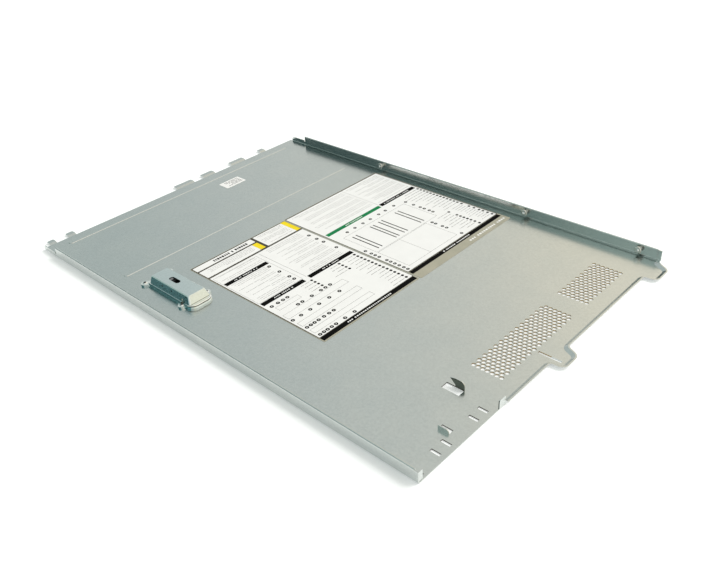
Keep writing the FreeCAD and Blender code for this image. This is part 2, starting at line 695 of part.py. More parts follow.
# Brim under the foot, and the ears that carry the rivets
brim = new_sketch(housing, "brim_plan", "XY_Plane")
BRIM_X = ("-Sizes.foot_front - Sizes.brim_reach", "Sizes.foot_rear + Sizes.brim_reach")
BRIM_Y = ("-Sizes.foot_width / 2 - Sizes.brim_reach", "Sizes.foot_width / 2 + Sizes.brim_reach")
rectangle(brim, *BRIM_X, *BRIM_Y)
pad(housing, "brim", brim, "Sizes.brim_height")
for end, radius in zip(BRIM_X, ("Sizes.foot_round_front", "Sizes.foot_round_rear")):
    brim_corners = [spot(end, y, "0") for y in BRIM_Y]
    rounding(housing, "brim_round", brim_corners, ALONG_Z, radius + " + Sizes.brim_reach", 2)
for sx, sy in EARS:
    ear_sketch = new_sketch(housing, "ear_plan", "XY_Plane")
    slot(ear_sketch, [
        (sx + "Sizes.ear_spread_x / 2", sy + "Sizes.ear_spread_y / 2"),
        (sx + "(Sizes.ear_spread_x / 2 - Sizes.ear_neck)",
         sy + "(Sizes.ear_spread_y / 2 - Sizes.ear_neck)")], "Sizes.ear_radius")
    pad(housing, "ear", ear_sketch, "Sizes.ear_height")
ear_holes = new_sketch(housing, "ear_hole_plan", "XY_Plane")
for sx, sy in EARS:
    circle(ear_holes, sx + "Sizes.ear_spread_x / 2", sy + "Sizes.ear_spread_y / 2",
           "Sizes.rivet_radius + Sizes.rivet_fit")
pocket(housing, "ear_holes", ear_holes, "Sizes.box_height", reverse=True)
head_room = new_sketch(housing, "head_room_plan", "XY_Plane", "Sizes.ear_height")
for sx, sy in EARS:
    circle(head_room, sx + "Sizes.ear_spread_x / 2", sy + "Sizes.ear_spread_y / 2",
           "Sizes.rivet_head + Sizes.rivet_head_room")
pocket(housing, "head_room", head_room, "Sizes.box_height", reverse=True)

# Room inside the housing for the lever
CAVITY_X = "Sizes.box_front_draft + Sizes.box_wall - Sizes.box_front"
cavity = new_sketch(housing, "cavity_section", "YZ_Plane", CAVITY_X)
ROOM_LOW = "(%s - Sizes.box_wall)" % BOX_HALF
ROOM_HIGH = "(%s - Sizes.box_wall - Sizes.box_side_draft)" % BOX_HALF
CEILING = "(Sizes.box_height - Sizes.box_wall)"
polygon(cavity, [
    ("-" + ROOM_LOW, "0"), (ROOM_LOW, "0"), (ROOM_LOW, "Sizes.foot_height"), (ROOM_HIGH, CEILING),
    ("-" + ROOM_HIGH, CEILING), ("-" + ROOM_LOW, "Sizes.foot_height")])
pocket(housing, "cavity", cavity, "Sizes.box_front + Sizes.box_rear - Sizes.box_front_draft"
       " - Sizes.box_rear_draft - 2 * Sizes.box_wall", reverse=True)

post = new_sketch(housing, "post_slot_plan", "XY_Plane", "Sizes.box_height")
slot(post, [("Sizes.post_slot_x - Sizes.post_slot_travel / 2", "0"),
            ("Sizes.post_slot_x + Sizes.post_slot_travel / 2", "0")], "Sizes.post_slot_radius")
pocket(housing, "post_slot", post, "2 * Sizes.box_wall")
cross = new_sketch(housing, "cross_holes", "XZ_Plane", "-Sizes.foot_width / 2")
circle(cross, "Sizes.pivot_x", "Sizes.pivot_level", "Sizes.pivot_radius + Sizes.pivot_fit")
circle(cross, "Sizes.dimple_front", "Sizes.dimple_level", "Sizes.dimple_radius")
circle(cross, "Sizes.dimple_rear", "Sizes.dimple_level", "Sizes.dimple_radius")
pocket(housing, "cross_holes_cut", cross, reverse=True)
housing.setExpression(".Placement.Base.x", LATCH_X)
housing.setExpression(".Placement.Base.y", "Sizes.latch_y")
housing.setExpression(".Placement.Base.z", "Sizes.sheet")

# Latch lever: a handle plate with two cheeks, a hub and a forked cam, drawn about its pivot
PIVOT_X = "(%s + Sizes.pivot_x)" % LATCH_X
PIVOT_Z = "(Sizes.sheet + Sizes.pivot_level)"
lever = new_body("latch_lever")
LEVER_HALF = "(Sizes.lever_width / 2)"
LEVER_LOW = "(Sizes.lever_lift - %s)" % PIVOT_Z
LEVER_TOP = "(%s + Sizes.lever_plate)" % LEVER_LOW
handle = new_sketch(lever, "handle_section", "XZ_Plane", "-" + LEVER_HALF)
rectangle(handle, "-Sizes.lever_reach", "-Sizes.lever_heel", LEVER_LOW, LEVER_TOP)
pad(lever, "handle", handle, "Sizes.lever_width")


def cheek(name, outer):
    sketch = new_sketch(lever, name + "_elevation", "XZ_Plane", outer)
    polygon(sketch, [
        ("-Sizes.lever_reach", LEVER_LOW), ("-Sizes.lever_reach", LEVER_TOP),
        ("-Sizes.lever_reach + Sizes.lever_cheek_tip", LEVER_TOP + " + Sizes.lever_plate"),
        ("-Sizes.cam_front", "0"), ("-Sizes.cam_front / 2", "Sizes.lever_hub"), ("0", "Sizes.lever_hub"),
        ("0", "-Sizes.lever_hub"), ("-Sizes.lever_heel", LEVER_LOW)])
    pad(lever, name, sketch, "Sizes.lever_cheek")


cheek("far_cheek", "-" + LEVER_HALF)
cheek("near_cheek", LEVER_HALF + " - Sizes.lever_cheek")
hub = new_sketch(lever, "hub_plan", "XZ_Plane", "-" + LEVER_HALF)
circle(hub, "0", "0", "Sizes.lever_hub")
pad(lever, "hub", hub, "Sizes.lever_width")
cam = new_sketch(lever, "cam_section", "XZ_Plane", "-Sizes.cam_width / 2")
polygon(cam, [
    ("-Sizes.cam_front", LEVER_LOW), ("-Sizes.cam_front", "Sizes.cam_top"),
    ("-Sizes.cam_front + Sizes.cam_prong", "Sizes.cam_top"),
    ("-Sizes.cam_front + Sizes.cam_prong", "Sizes.cam_seat"),
    ("-Sizes.cam_rear - Sizes.cam_prong", "Sizes.cam_seat"),
    ("-Sizes.cam_rear - Sizes.cam_prong", "Sizes.cam_top"),
    ("-Sizes.cam_rear", "Sizes.cam_top"), ("-Sizes.cam_rear", LEVER_LOW)])
pad(lever, "cam", cam, "Sizes.cam_width")
bore = new_sketch(lever, "bore_plan", "XZ_Plane", "-Sizes.lever_width")
circle(bore, "0", "0", "Sizes.pivot_radius + Sizes.pivot_running_fit")
pocket(lever, "bore", bore, reverse=True)
lever.setExpression(".Placement.Base.x", PIVOT_X)
lever.setExpression(".Placement.Base.y", "Sizes.latch_y")
lever.setExpression(".Placement.Base.z", PIVOT_Z)

# Pivot pin across the housing
pin = new_body("latch_pivot_pin")
pin_sketch = new_sketch(pin, "pin_plan", "XZ_Plane", "-Sizes.pivot_length / 2")
circle(pin_sketch, "0", "0", "Sizes.pivot_radius")
pad(pin, "pin", pin_sketch, "Sizes.pivot_length")
pin.setExpression(".Placement.Base.x", PIVOT_X)
pin.setExpression(".Placement.Base.y", "Sizes.latch_y")
pin.setExpression(".Placement.Base.z", PIVOT_Z)


def turned(name, profile):
    """Piece turned about its own upright axis from a half section"""
    body = new_body(name)
    section = new_sketch(body, name + "_section", "XZ_Plane")
    polygon(section, profile)
    spin = body.newObject("PartDesign::Revolution", name + "_turn")
    spin.Profile = section
    spin.ReferenceAxis = (section, ["V_Axis"])
    spin.Angle = 360
    settle(spin)
    return body


pieces = [panel, housing, lever, pin]

# Hollow rivets through the ears and the sheet
GRIP = "(Sizes.sheet + Sizes.ear_height)"
HEAD_TOP = "(%s + Sizes.rivet_head_height)" % GRIP
for number_of, (sx, sy) in enumerate(EARS, start=1):
    rivet = turned("housing_rivet_%d" % number_of, [
        ("0", "0"), ("Sizes.rivet_radius", "0"), ("Sizes.rivet_radius", GRIP), ("Sizes.rivet_head", GRIP),
        ("Sizes.rivet_head - Sizes.rivet_head_height", HEAD_TOP), ("Sizes.rivet_bore", HEAD_TOP),
        ("Sizes.rivet_bore", HEAD_TOP + " - Sizes.rivet_bore_depth"),
        ("0", HEAD_TOP + " - Sizes.rivet_bore_depth")])
    rivet.setExpression(".Placement.Base.x", "%s + %sSizes.ear_spread_x / 2" % (LATCH_X, sx))
    rivet.setExpression(".Placement.Base.y", "Sizes.latch_y + %sSizes.ear_spread_y / 2" % sy)
    pieces.append(rivet)

# Shoulder studs welded to the inside of the far flange
STUDS = ["first", "second", "third"]
SHOULDER_END = "(%s + Sizes.stud_shoulder_length)" % HEM_THICK
HEAD_END = "(%s + Sizes.stud_head_length)" % SHOULDER_END
STUD_PROFILE = [
    ("0", HEM_THICK), ("Sizes.stud_shoulder", HEM_THICK), ("Sizes.stud_shoulder", SHOULDER_END),
    ("Sizes.stud_head", SHOULDER_END), ("Sizes.stud_head", HEAD_END + " - Sizes.stud_head_edge"),
    ("Sizes.stud_head - Sizes.stud_head_edge", HEAD_END), ("0", HEAD_END)]
for index, stud in enumerate(STUDS, start=1):
    body = turned("flange_stud_%d" % index, STUD_PROFILE)
    body.Placement = FreeCAD.Placement(FreeCAD.Vector(), FreeCAD.Rotation(ALONG_X, 90))
    body.setExpression(".Placement.Base.x", "%s + Sizes.stud_%s" % (FRONT, stud))
    body.setExpression(".Placement.Base.y", HALF)
    body.setExpression(".Placement.Base.z", "Sizes.stud_level")
    pieces.append(body)

# Printed labels stuck on the inside face
for node in ("label_far", "label_near", "label_small"):
    body = new_body(node)
    outline = new_sketch(body, node + "_plan", "XY_Plane")
    half_length = "(Sizes.%s_length / 2)" % node
    half_width = "(Sizes.%s_width / 2)" % node
    rectangle(outline, "-" + half_length, half_length, "-" + half_width, half_width)
    pad(body, node + "_film", outline, "Sizes.label_sheet")
    corners = [spot(sx + half_length, sy + half_width, "0") for sx in ("-", "") for sy in ("-", "")]
    rounding(body, node + "_corners", corners, ALONG_Z, "Sizes.label_round", 4)
    body.setExpression(".Placement.Base.x", "%s + Sizes.%s_x" % (FRONT, node))
    body.setExpression(".Placement.Base.y", "Sizes.%s_y" % node)
    body.setExpression(".Placement.Base.z", "Sizes.sheet")
    pieces.append(body)

# Check every object, then write each piece
doc.recompute()
for item in doc.Objects:
    if "Invalid" in item.State or "Error" in item.State:
        raise RuntimeError("%s did not recompute: %s" % (item.Name, item.State))
for piece in pieces:
    shape = piece.Shape
    if shape.isNull() or not shape.isValid() or len(shape.Solids) != 1:
        raise RuntimeError("bad shape in " + piece.Label)
os.makedirs("parts", exist_ok=True)
for piece in pieces:
    piece.Shape.exportStep("parts/%s.step" % piece.Label)
    box = piece.Shape.BoundBox
    print("%-18s %9.1f mm3  x %7.2f %7.2f  y %7.2f %7.2f  z %6.2f %6.2f" % (
        piece.Label, piece.Shape.Volume, box.XMin, box.XMax, box.YMin, box.YMax, box.ZMin, box.ZMax))
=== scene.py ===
import math
import random

import bmesh
import bpy
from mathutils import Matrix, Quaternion, Vector


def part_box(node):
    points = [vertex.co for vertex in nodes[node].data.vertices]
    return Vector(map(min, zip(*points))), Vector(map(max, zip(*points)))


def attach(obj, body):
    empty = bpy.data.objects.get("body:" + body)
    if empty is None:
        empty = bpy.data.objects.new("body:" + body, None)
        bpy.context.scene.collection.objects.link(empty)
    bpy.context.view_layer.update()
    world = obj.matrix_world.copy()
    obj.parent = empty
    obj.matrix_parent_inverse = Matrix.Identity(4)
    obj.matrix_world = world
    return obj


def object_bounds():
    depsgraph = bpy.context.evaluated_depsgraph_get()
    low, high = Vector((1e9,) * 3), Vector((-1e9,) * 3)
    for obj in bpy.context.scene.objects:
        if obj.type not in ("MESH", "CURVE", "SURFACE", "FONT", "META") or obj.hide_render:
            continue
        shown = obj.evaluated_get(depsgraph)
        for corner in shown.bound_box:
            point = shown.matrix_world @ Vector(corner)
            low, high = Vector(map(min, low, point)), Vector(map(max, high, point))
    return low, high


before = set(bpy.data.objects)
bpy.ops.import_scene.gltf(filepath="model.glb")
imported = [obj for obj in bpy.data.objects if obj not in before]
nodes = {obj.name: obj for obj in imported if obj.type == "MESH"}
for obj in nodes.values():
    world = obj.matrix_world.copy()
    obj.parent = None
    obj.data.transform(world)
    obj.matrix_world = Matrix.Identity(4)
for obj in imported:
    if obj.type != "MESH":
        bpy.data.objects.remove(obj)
cad_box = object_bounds()

MM = 0.001
COVER = "cover"


# Small helpers for modelling by operators
def deselect_all():
    if bpy.context.object and bpy.context.object.mode != "OBJECT":
        bpy.ops.object.mode_set(mode="OBJECT")
    bpy.ops.object.select_all(action="DESELECT")


def mesh_named(name):
    """The object just added, under a name of its own"""
    piece = bpy.context.object
    piece.name = name
    piece.data.name = name
    return piece


# Shader helpers, where noise is taken to run between these two values
NOISE_LOW = 0.3
NOISE_HIGH = 0.7


def new_material(name):
    material = bpy.data.materials.new(name)
    material.use_nodes = True
    tree = material.node_tree
    shader = tree.nodes["Principled BSDF"]
    return material, tree, shader


def noise(tree, scale, stretch=(1, 1, 1), **settings):
    """Noise on Object coordinates, drawn out along the axes"""
    place = tree.nodes.new("ShaderNodeTexCoord")
    turn = tree.nodes.new("ShaderNodeMapping")
    turn.inputs["Scale"].default_value = stretch
    texture = tree.nodes.new("ShaderNodeTexNoise")
    texture.inputs["Scale"].default_value = scale
    for socket, value in settings.items():
        texture.inputs[socket].default_value = value
    tree.links.new(place.outputs["Object"], turn.inputs["Vector"])
    tree.links.new(turn.outputs["Vector"], texture.inputs["Vector"])
    return texture.outputs["Fac"]


def between(tree, source, low, high):
    """A colour that runs from low to high with the source"""
    ramp = tree.nodes.new("ShaderNodeValToRGB")
    ramp.color_ramp.elements[0].position = NOISE_LOW
    ramp.color_ramp.elements[1].position = NOISE_HIGH
    ramp.color_ramp.elements[0].color = (*low, 1)
    ramp.color_ramp.elements[1].color = (*high, 1)
    tree.links.new(source, ramp.inputs["Fac"])
    return ramp.outputs["Color"]


def grain(tree, shader, source, strength, distance):
    """Fine relief that follows the source"""
    bump = tree.nodes.new("ShaderNodeBump")
    bump.inputs["Strength"].default_value = strength
    bump.inputs["Distance"].default_value = distance
    tree.links.new(source, bump.inputs["Height"])
    tree.links.new(bump.outputs["Normal"], shader.inputs["Normal"])


def calculate(tree, operation, first, second=None):
    """One step of arithmetic on a socket, with another socket or a number"""
    step = tree.nodes.new("ShaderNodeMath")
    step.operation = operation
    tree.links.new(first, step.inputs[0])
    if isinstance(second, float):
        step.inputs[1].default_value = second
    elif second is not None:
        tree.links.new(second, step.inputs[1])
    return step.outputs["Value"]


def blend_colours(tree, kind, amount, first, second):
    """Mix of two colours, each a socket or a tuple; amount is a number or a socket"""
    mix = tree.nodes.new("ShaderNodeMix")
    mix.data_type = "RGBA"
    mix.blend_type = kind
    colours = [socket for socket in mix.inputs if socket.type == "RGBA"]
    if isinstance(amount, float):
        mix.inputs["Factor"].default_value = amount
    else:
        tree.links.new(amount, mix.inputs["Factor"])
    for socket, colour in zip(colours, (first, second)):
        if isinstance(colour, tuple):
            socket.default_value = (*colour, 1)
        else:
            tree.links.new(colour, socket)
    return next(socket for socket in mix.outputs if socket.type == "RGBA")


def axes_of(tree, kind):
    """X, Y and Z sockets of the place on the object, kind Object, or of its facing, kind Normal"""
    source = tree.nodes.new("ShaderNodeTexCoord")
    axes = tree.nodes.new("ShaderNodeSeparateXYZ")
    tree.links.new(source.outputs[kind], axes.inputs["Vector"])
    return axes.outputs


# Masks for local tones, one where they hold and zero elsewhere
def below(tree, socket, limit):
    return calculate(tree, "LESS_THAN", socket, limit)


def above(tree, socket, limit):
    return calculate(tree, "GREATER_THAN", socket, limit)


def within(tree, socket, middle, reach):
    """One where the socket lies within reach of the middle"""
    away = calculate(tree, "ABSOLUTE", calculate(tree, "SUBTRACT", socket, middle))
    return below(tree, away, reach)


def every(tree, *masks):
    """One where every mask is one"""
    result = masks[0]
    for mask in masks[1:]:
        result = calculate(tree, "MULTIPLY", result, mask)
    return result


# Local tones, set after the photograph: places on the object, limits on the facing, colours
SHEET_THICKNESS = 1.0 * MM
HOLES_WITHIN = (298.5 * MM, 205.0 * MM)
SLOTS_BELOW = -80.0 * MM
FIN_Y = -102.0 * MM
FOOT_TOP = 5.6 * MM
RISER_MIDDLE = 3.7 * MM
BORE_SHADE = 1.75 * MM
UPRIGHT_REACH = 0.35
FIN_FACING = -0.7
NEAR_WALL_FACING = -0.8
LEDGE_FACING = 0.7
RISER_FACING = 0.3
RISER_SLOPE = 0.5
# Painted shade on the walls of the vents and the slots
VENT_WALL_SHADE = (0.34, 0.235, 0.085)
SLOT_WALL_SHADE = (0.06, 0.045, 0.028)
# Painted shade on the fin's near face
FIN_SHADE = (0.10, 0.12, 0.10)
# Painted shade on the housing's near wall
NEAR_WALL_SHADE = (0.17, 0.36, 0.40)
# Painted highlight on the foot's ledges
LEDGE_HIGHLIGHT = (0.97, 0.98, 0.95)
# Painted shade along the foot's rear riser
RISER_SHADE = (0.13, 0.12, 0.075)
# Painted shade in the middle of the rivet heads
BORE_SHADE_TONE = (0.012, 0.015, 0.015)


def painted_shade_in_holes(tree, colour):
    """Painted shade: brown on the walls of the punched holes, darker in the slots than in the vents"""
    spot = axes_of(tree, "Object")
    facing = axes_of(tree, "Normal")
    hole_walls = every(
        tree, within(tree, facing["Z"], 0.0, UPRIGHT_REACH), below(tree, spot["Z"], SHEET_THICKNESS),
        within(tree, spot["X"], 0.0, HOLES_WITHIN[0]), within(tree, spot["Y"], 0.0, HOLES_WITHIN[1]))
    slot_walls = every(tree, hole_walls, below(tree, spot["Y"], SLOTS_BELOW))
    colour = blend_colours(tree, "MIX", hole_walls, colour, VENT_WALL_SHADE)
    return blend_colours(tree, "MIX", slot_walls, colour, SLOT_WALL_SHADE)


def painted_shade_on_fin(tree, colour):
    """Painted shade: dark near face on the tall fin"""
    spot = axes_of(tree, "Object")
    facing = axes_of(tree, "Normal")
    fin = every(
        tree, below(tree, facing["Y"], FIN_FACING), above(tree, spot["Z"], SHEET_THICKNESS),
        within(tree, spot["Y"], FIN_Y, 2 * SHEET_THICKNESS), above(tree, spot["X"], 0.0))
    return blend_colours(tree, "MIX", fin, colour, FIN_SHADE)


def painted_shade_on_near_wall(tree, colour):
    """Painted shade: dark teal on the housing's near wall"""
    near_wall = below(tree, axes_of(tree, "Normal")["Y"], NEAR_WALL_FACING)
    return blend_colours(tree, "MIX", near_wall, colour, NEAR_WALL_SHADE)


def painted_highlight_on_ledges(tree, colour):
    """Painted highlight: bright ledges on the stepped foot"""
    spot = axes_of(tree, "Object")
    facing = axes_of(tree, "Normal")
    ledges = every(tree, above(tree, facing["Z"], LEDGE_FACING), below(tree, spot["Z"], FOOT_TOP))
    return blend_colours(tree, "MIX", ledges, colour, LEDGE_HIGHLIGHT)


def painted_shade_on_riser(tree, colour):
    """Painted shade: dark line along the top of the foot's rear riser"""
    spot = axes_of(tree, "Object")
    facing = axes_of(tree, "Normal")
    riser = every(
        tree, above(tree, facing["X"], RISER_FACING), below(tree, facing["Z"], RISER_SLOPE),
        above(tree, spot["Z"], RISER_MIDDLE), below(tree, spot["Z"], FOOT_TOP))
    return blend_colours(tree, "MIX", riser, colour, RISER_SHADE)


def painted_shade_in_bores(tree, colour):
    """Painted shade: dark middle on each rivet head"""
    spot = axes_of(tree, "Object")
    for name in nodes:
        if name.startswith("housing_rivet"):
            low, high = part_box(name)
            across = calculate(tree, "SUBTRACT", spot["X"], (low.x + high.x) / 2)
            along = calculate(tree, "SUBTRACT", spot["Y"], (low.y + high.y) / 2)
            away = calculate(tree, "ADD", calculate(tree, "MULTIPLY", across, across),
                             calculate(tree, "MULTIPLY", along, along))
            bore = below(tree, away, BORE_SHADE ** 2)
            colour = blend_colours(tree, "MIX", bore, colour, BORE_SHADE_TONE)
    return colour


# Kinds of finish
PLATE_SMOOTHER = 0.05
PLATE_ROUGHER = 0.07
DULL_FLECK = (0.93, 0.93, 0.93)
BRIGHT_FLECK = (1.0, 1.0, 1.0)
ALONG_LENGTH = (0.25, 1, 1)
BLACK_DEEP = (0.012, 0.012, 0.014)
BLACK_WORN = (0.03, 0.03, 0.033)


def zinc_plate(name, low, high, roughness, cloud, local_tones=()):
    """Zinc-plated steel: cloudy colour, fine spangle, and a rolled grain along its length"""
    material, tree, shader = new_material(name)
    shader.inputs["Metallic"].default_value = 1.0
    clouds = between(tree, noise(tree, scale=cloud, Detail=6.0, Roughness=0.65), low, high)
    spangle = between(tree, noise(tree, scale=420.0, Detail=2.0), DULL_FLECK, BRIGHT_FLECK)
    colour = blend_colours(tree, "MULTIPLY", 1.0, clouds, spangle)
    for local_tone in local_tones:
        colour = local_tone(tree, colour)
    tree.links.new(colour, shader.inputs["Base Color"])
    rolled = noise(tree, scale=900.0, stretch=ALONG_LENGTH, Detail=3.0)
    rough = tree.nodes.new("ShaderNodeMapRange")
    rough.inputs["To Min"].default_value = roughness - PLATE_SMOOTHER
    rough.inputs["To Max"].default_value = roughness + PLATE_ROUGHER
    tree.links.new(rolled, rough.inputs["Value"])
    tree.links.new(rough.outputs["Result"], shader.inputs["Roughness"])
    grain(tree, shader, rolled, strength=0.03, distance=0.01 * MM)
    return material


def moulded_black(name):
    """Black plastic with a fine moulded speck"""
    material, tree, shader = new_material(name)
    speck = noise(tree, scale=2500.0, Detail=2.0)
    tree.links.new(between(tree, speck, BLACK_DEEP, BLACK_WORN), shader.inputs["Base Color"])
    shader.inputs["Roughness"].default_value = 0.45
    grain(tree, shader, speck, strength=0.3, distance=0.05 * MM)
    return material


def printed_film(name, low, high, roughness=0.5, shine=0.1):
    """Ink or film with a faint uneven tone"""
    material, tree, shader = new_material(name)
    tone = between(tree, noise(tree, scale=60.0, Detail=4.0), low, high)
    tree.links.new(tone, shader.inputs["Base Color"])
    shader.inputs["Roughness"].default_value = roughness
    shader.inputs["Specular IOR Level"].default_value = shine
    return material


# Finishes of the CAD nodes and of the print
SHEET_FINISH = zinc_plate(
    "zinc_sheet", (0.65, 0.69, 0.68), (0.69, 0.72, 0.70), roughness=0.23, cloud=18.0,
    local_tones=(painted_shade_in_holes, painted_shade_on_fin))
HOUSING_FINISH = zinc_plate(
    "housing_zinc", (0.73, 0.81, 0.81), (0.78, 0.85, 0.84), roughness=0.17, cloud=40.0,
    local_tones=(painted_shade_on_near_wall, painted_highlight_on_ledges, painted_shade_on_riser))
STUD_FINISH = zinc_plate(
    "turned_stud", (0.62, 0.62, 0.58), (0.72, 0.72, 0.68), roughness=0.22, cloud=120.0)
RIVET_FINISH = zinc_plate(
    "rivet_zinc", (0.82, 0.84, 0.83), (0.90, 0.92, 0.90), roughness=0.26, cloud=120.0,
    local_tones=(painted_shade_in_bores,))
LEVER_FINISH = moulded_black("lever_black")
BACKING = printed_film("label_backing", (0.36, 0.35, 0.28), (0.42, 0.40, 0.32))
WHITE_FILM = printed_film("label_white", (0.82, 0.82, 0.82), (0.85, 0.85, 0.85))
BLACK_INK = printed_film(
    "label_black", (0.003, 0.003, 0.003), (0.006, 0.006, 0.006), roughness=0.6, shine=0.02)
GREEN_INK = printed_film("label_green", (0.003, 0.17, 0.055), (0.005, 0.21, 0.07))
YELLOW_INK = printed_film("label_yellow", (0.80, 0.62, 0.012), (0.90, 0.72, 0.02))
GREY_INK = printed_film("label_grey", (0.17, 0.17, 0.165), (0.23, 0.23, 0.225))
LINE_INK = printed_film("label_line", (0.055, 0.05, 0.04), (0.08, 0.075, 0.06))
DARK_INK = printed_film(
    "label_dark", (0.012, 0.012, 0.011), (0.02, 0.02, 0.018), roughness=0.6, shine=0.02)

FINISHES = {
    "cover_panel": SHEET_FINISH,
    "latch_housing": HOUSING_FINISH,
    "latch_lever": LEVER_FINISH,
    "latch_pivot_pin": STUD_FINISH,
    "label_far": BACKING,
    "label_near": BACKING,
    "label_small": WHITE_FILM,
}
for name, node in nodes.items():
    finish = FINISHES.get(name)
    if finish is None:
        finish = RIVET_FINISH if "rivet" in name else STUD_FINISH
    node.data.materials.clear()
    node.data.materials.append(finish)

# How far an added piece reaches into what carries it, in millimetres
SINK = 0.01

# Bright domed tips in the middle of the flange studs
DOME_RADIUS = 2.4 * MM
DOME_RISE = 0.9 * MM
DOME_SMOOTH_ANGLE = math.radians(40)
DOME_FINISH = zinc_plate(
    "stud_tip_bright", (0.95, 0.95, 0.94), (0.99, 0.99, 0.98), roughness=0.16, cloud=200.0)


def stud_dome(stud):
    """Cap cut from a ball, standing on the middle of the stud's face"""
    low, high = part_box(stud)
    middle = Vector(((low.x + high.x) / 2, low.y + DOME_RADIUS - DOME_RISE, (low.z + high.z) / 2))
    deselect_all()
    bpy.ops.mesh.primitive_uv_sphere_add(segments=24, ring_count=12, radius=DOME_RADIUS, location=middle)
    dome = mesh_named(stud + "_dome")
    bpy.ops.object.transform_apply(location=True, rotation=True, scale=True)
    bpy.ops.object.mode_set(mode="EDIT")
    bpy.ops.mesh.select_all(action="SELECT")
    bpy.ops.mesh.bisect(plane_co=(middle.x, low.y + SINK * MM, middle.z), plane_no=(0, 1, 0),
                        use_fill=True, clear_outer=True)
    bpy.ops.object.mode_set(mode="OBJECT")
    bpy.ops.object.shade_smooth_by_angle(angle=DOME_SMOOTH_ANGLE)
    dome.data.materials.append(DOME_FINISH)
    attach(dome, COVER)


for name in nodes:
    if name.startswith("flange_stud"):
        stud_dome(name)

# Printed layers on the labels: thin films of ink, in millimetres from each label's lowest corner
FIELD_DEPTH = 0.03
INK_DEPTH = 0.02
UNDER = (-SINK, FIELD_DEPTH - SINK)
FIELD = (-SINK, FIELD_DEPTH)
INK = (FIELD_DEPTH - SINK, FIELD_DEPTH + INK_DEPTH)
TOP_INK = (FIELD_DEPTH + INK_DEPTH - SINK, FIELD_DEPTH + 2 * INK_DEPTH)
UPRIGHT_WITHIN = 0.001


class Layer:
    """Film of one ink on one label, gathered in edit mode from boxes and discs"""

    def __init__(self, name, label, finish, level):
        low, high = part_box(label)
        self.corner = Vector((low.x, low.y, high.z))
        self.depth = (level[1] - level[0]) * MM
        self.height = (level[0] + level[1]) / 2
        deselect_all()
        bpy.ops.object.add(type="MESH", location=(0, 0, 0))
        self.piece = mesh_named(name)
        self.piece.data.materials.append(finish)
        bpy.ops.object.mode_set(mode="EDIT")

    def box(self, x0, x1, y0, y1):
        middle = Vector(((x0 + x1) / 2, (y0 + y1) / 2, self.height)) * MM
        bpy.ops.mesh.primitive_cube_add(size=1, location=self.corner + middle,
                                        scale=((x1 - x0) * MM, (y1 - y0) * MM, self.depth))

    def field(self, x0, x1, y0, y1, corner):
        """Box with its four upright edges rounded, as a label is cut"""
        self.box(x0, x1, y0, y1)
        mesh = bmesh.from_edit_mesh(self.piece.data)
        upright = []
        for edge in mesh.edges:
            along = edge.verts[0].co - edge.verts[1].co
            if edge.select and along.xy.length < UPRIGHT_WITHIN * MM:
                upright.append(edge)
        bpy.ops.mesh.select_all(action="DESELECT")
        for edge in upright:
            edge.select_set(True)
        bmesh.update_edit_mesh(self.piece.data)
        bpy.ops.mesh.bevel(offset=corner * MM, segments=3, affect="EDGES")

    def disc(self, x, y, radius):
        middle = Vector((x, y, self.height)) * MM
        bpy.ops.mesh.primitive_cylinder_add(vertices=14, radius=radius * MM, depth=self.depth,
                                            location=self.corner + middle)

    def outline(self, x0, x1, y0, y1, width):
        """Frame of four thin bars"""
        self.box(x0, x1, y0, y0 + width)
        self.box(x0, x1, y1 - width, y1)
        self.box(x0, x0 + width, y0 + width, y1 - width)
        self.box(x1 - width, x1, y0 + width, y1 - width)

    def done(self):
        bpy.ops.object.mode_set(mode="OBJECT")
        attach(self.piece, COVER)


# Uneven lines and blocks, with lengths drawn between two ends: in millimetres, or as shares of a whole
PART_LENGTH = (3.5, 11.0)
PART_GAP = 1.1
LIST_SHARE = (0.5, 1.0)
FULL_SHARE = (0.88, 1.0)
LAST_SHARE = (0.35, 0.75)
LINES_IN_GROUP = (2, 4)
GROUP_GAP = 0.9
BLOCK_SHARE = (0.55, 1.0)
BLOCK_GAP = 0.45
BLOCK_GAP_TIMES = (1, 1, 1, 1, 3)
lengths = random.Random(11)


def broken_line(layer, x, width, y0, y1):
    """One thin bar with gaps that starts at y1 and runs towards y0"""
    y = y1
    while y > y0:
        part = min(lengths.uniform(*PART_LENGTH), y - y0)
        layer.box(x, x + width, y - part, y)
        y -= part + PART_GAP


def list_lines(layer, x0, x1, y0, y1, step, width):
    """Evenly spaced lines of uneven length, as in a list"""
    x = x0
    while x < x1:
        broken_line(layer, x, width, y1 - (y1 - y0) * lengths.uniform(*LIST_SHARE), y1)
        x += step


def text_lines(layer, x0, x1, y0, y1, step, width):
    """Full lines in small groups, each group with a short last line and a gap after it"""
    x = x0
    left = lengths.randint(*LINES_IN_GROUP)
    while x < x1:
        left -= 1
        share = lengths.uniform(*(FULL_SHARE if left else LAST_SHARE))
        broken_line(layer, x, width, y1 - (y1 - y0) * share, y1)
        x += step
        if not left:
            x += GROUP_GAP * step
            left = lengths.randint(*LINES_IN_GROUP)


def heading(layer, x0, x1, y0, y1, widest):
    """Row of short blocks from y1 towards y0"""
    y = y1
    while y > y0:
        block = lengths.uniform(*BLOCK_SHARE) * widest
        layer.box(x0, x1, y - block, y)
        y -= block + BLOCK_GAP * widest * lengths.choice(BLOCK_GAP_TIMES)


def dots(layer, places, radius):
    for x, y in places:
        layer.disc(x, y, radius)


def row(y, *xs):
    return [(x, y) for x in xs]


def column(x, *ys):
    return [(x, y) for y in ys]


def run(first, step, count):
    return [first + step * i for i in range(count)]


# Widths that both large labels share
SMALL_PRINT = 0.45
LIST_PRINT = 0.6
THIN_RULE = 0.35

